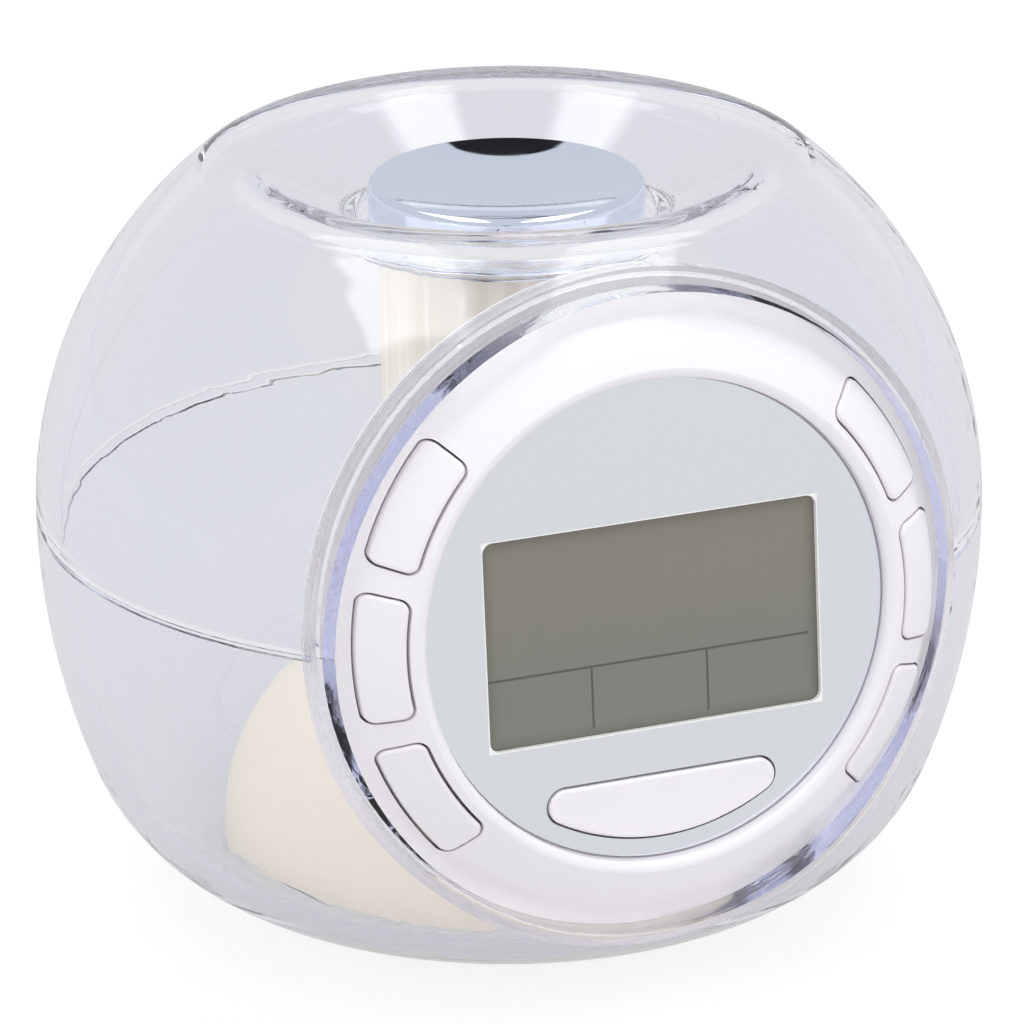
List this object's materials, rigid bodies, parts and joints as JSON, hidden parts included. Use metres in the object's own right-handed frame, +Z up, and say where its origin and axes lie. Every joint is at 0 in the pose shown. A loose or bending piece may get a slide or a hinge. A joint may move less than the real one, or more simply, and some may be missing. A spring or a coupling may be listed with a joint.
{
  "type": "table clock",
  "caption": "Weather clock in a clear flattened globe, with a round tilted dial, keys on the dial's ring and a chrome push button in a funnel on top.",
  "frame": {"origin": "on the globe's upright axis, in the plane that the ring foot stands on", "axes": "+Z up, +X to the right of someone who faces the dial, and the dial faces -Y"},
  "size_m": [0.1, 0.0933, 0.0797],
  "materials": {
    "clear_shell": "clear polished plastic",
    "white_gloss": "polished warm white",
    "mirror_face": "mirror foil on plastic",
    "display_film": "grey display film",
    "display_glass": "thin float glass",
    "display_backing": "satin reflector film",
    "black_plastic": "moulded black plastic",
    "elastomer": "matte silicone",
    "circuit_board": "green solder mask",
    "steel_can": "satin steel",
    "screw_steel": "zinc plated steel",
    "chrome_cap": "bright chrome",
    "spring_steel": "drawn wire",
    "frosted_column": "frosted translucent plastic",
    "warm_white": "satin warm white plastic",
    "foot_rubber": "matte rubber",
    "cell_jacket": "plain printed jacket",
    "wire_cover": "flexible insulation",
    "cone_paper": "doped paper",
    "dark_metal": "dull ferrite and plate",
    "led_lens": "milky lens"
  },
  "bodies": {
    "casing": {"upper_shell": "clear_shell", "lower_shell": "clear_shell", "base_dome": "warm_white", "base_plate": "warm_white", "base_screws": "screw_steel", "ring_foot": "foot_rubber", "light_column": "frosted_column", "dial_bezel": "white_gloss", "mirror_panel": "mirror_face", "lcd_front_polarizer": "display_film", "lcd_glass": "display_glass", "lcd_rear_reflector": "display_backing", "lcd_frame": "black_plastic", "lcd_connector_strips": "elastomer", "dial_board": "circuit_board", "key_switches": "black_plastic", "controller_chip": "black_plastic", "timing_crystal": "steel_can", "temperature_sensor": "black_plastic", "harness_connector": "white_gloss", "dial_rear_cover": "white_gloss", "dial_screws": "screw_steel", "dial_harness": "wire_cover", "snooze_spring": "spring_steel", "snooze_switch": "black_plastic", "snooze_board": "circuit_board", "snooze_board_screws": "screw_steel", "snooze_wires": "wire_cover", "battery_cell_1": "cell_jacket", "battery_cell_2": "cell_jacket", "battery_cell_3": "cell_jacket", "contact_spring_1": "spring_steel", "contact_spring_2": "spring_steel", "contact_spring_3": "spring_steel", "contact_plates": "steel_can", "battery_leads": "wire_cover", "speaker_frame": "dark_metal", "speaker_cone": "cone_paper", "speaker_magnet": "dark_metal", "speaker_leads": "wire_cover", "light_board": "circuit_board", "light_led_1": "led_lens", "light_led_2": "led_lens", "light_led_3": "led_lens", "sound_chip": "black_plastic", "light_board_screws": "screw_steel"},
    "snooze_button": {"snooze_cap": "chrome_cap", "snooze_plunger": "black_plastic", "snooze_clip": "spring_steel"},
    "sound_button": {"sound_key": "white_gloss"},
    "battery_cover": {"battery_door": "warm_white"},
    "left_upper_button": {"key_left_upper": "white_gloss"},
    "left_middle_button": {"key_left_middle": "white_gloss"},
    "left_lower_button": {"key_left_lower": "white_gloss"},
    "right_upper_button": {"key_right_upper": "white_gloss"},
    "right_middle_button": {"key_right_middle": "white_gloss"},
    "right_lower_button": {"key_right_lower": "white_gloss"}
  },
  "joints": [
    {"name": "snooze_press", "type": "slide", "parent": "casing", "child": "snooze_button", "axis": [0, 0, -1], "range_m": [0, 0.0015], "stiffness_N_per_m": 300, "deforming": ["snooze_spring"]},
    {"name": "left_upper_press", "type": "slide", "parent": "casing", "child": "left_upper_button", "axis": [0, 0.9963, -0.0854], "range_m": [0, 0.0005], "stiffness_N_per_m": 300},
    {"name": "left_middle_press", "type": "slide", "parent": "casing", "child": "left_middle_button", "axis": [0, 0.9963, -0.0854], "range_m": [0, 0.0005], "stiffness_N_per_m": 300},
    {"name": "left_lower_press", "type": "slide", "parent": "casing", "child": "left_lower_button", "axis": [0, 0.9963, -0.0854], "range_m": [0, 0.0005], "stiffness_N_per_m": 300},
    {"name": "right_upper_press", "type": "slide", "parent": "casing", "child": "right_upper_button", "axis": [0, 0.9963, -0.0854], "range_m": [0, 0.0005], "stiffness_N_per_m": 300},
    {"name": "right_middle_press", "type": "slide", "parent": "casing", "child": "right_middle_button", "axis": [0, 0.9963, -0.0854], "range_m": [0, 0.0005], "stiffness_N_per_m": 300},
    {"name": "right_lower_press", "type": "slide", "parent": "casing", "child": "right_lower_button", "axis": [0, 0.9963, -0.0854], "range_m": [0, 0.0005], "stiffness_N_per_m": 300},
    {"name": "sound_press", "type": "slide", "parent": "casing", "child": "sound_button", "axis": [0, 0.9963, -0.0854], "range_m": [0, 0.0005], "stiffness_N_per_m": 300},
    {"name": "battery_cover_hinge", "type": "hinge", "parent": "casing", "child": "battery_cover", "pos_m": [0, 0.0158, 0.0012], "axis": [1, 0, 0], "range_deg": [0, 60]}
  ]
}
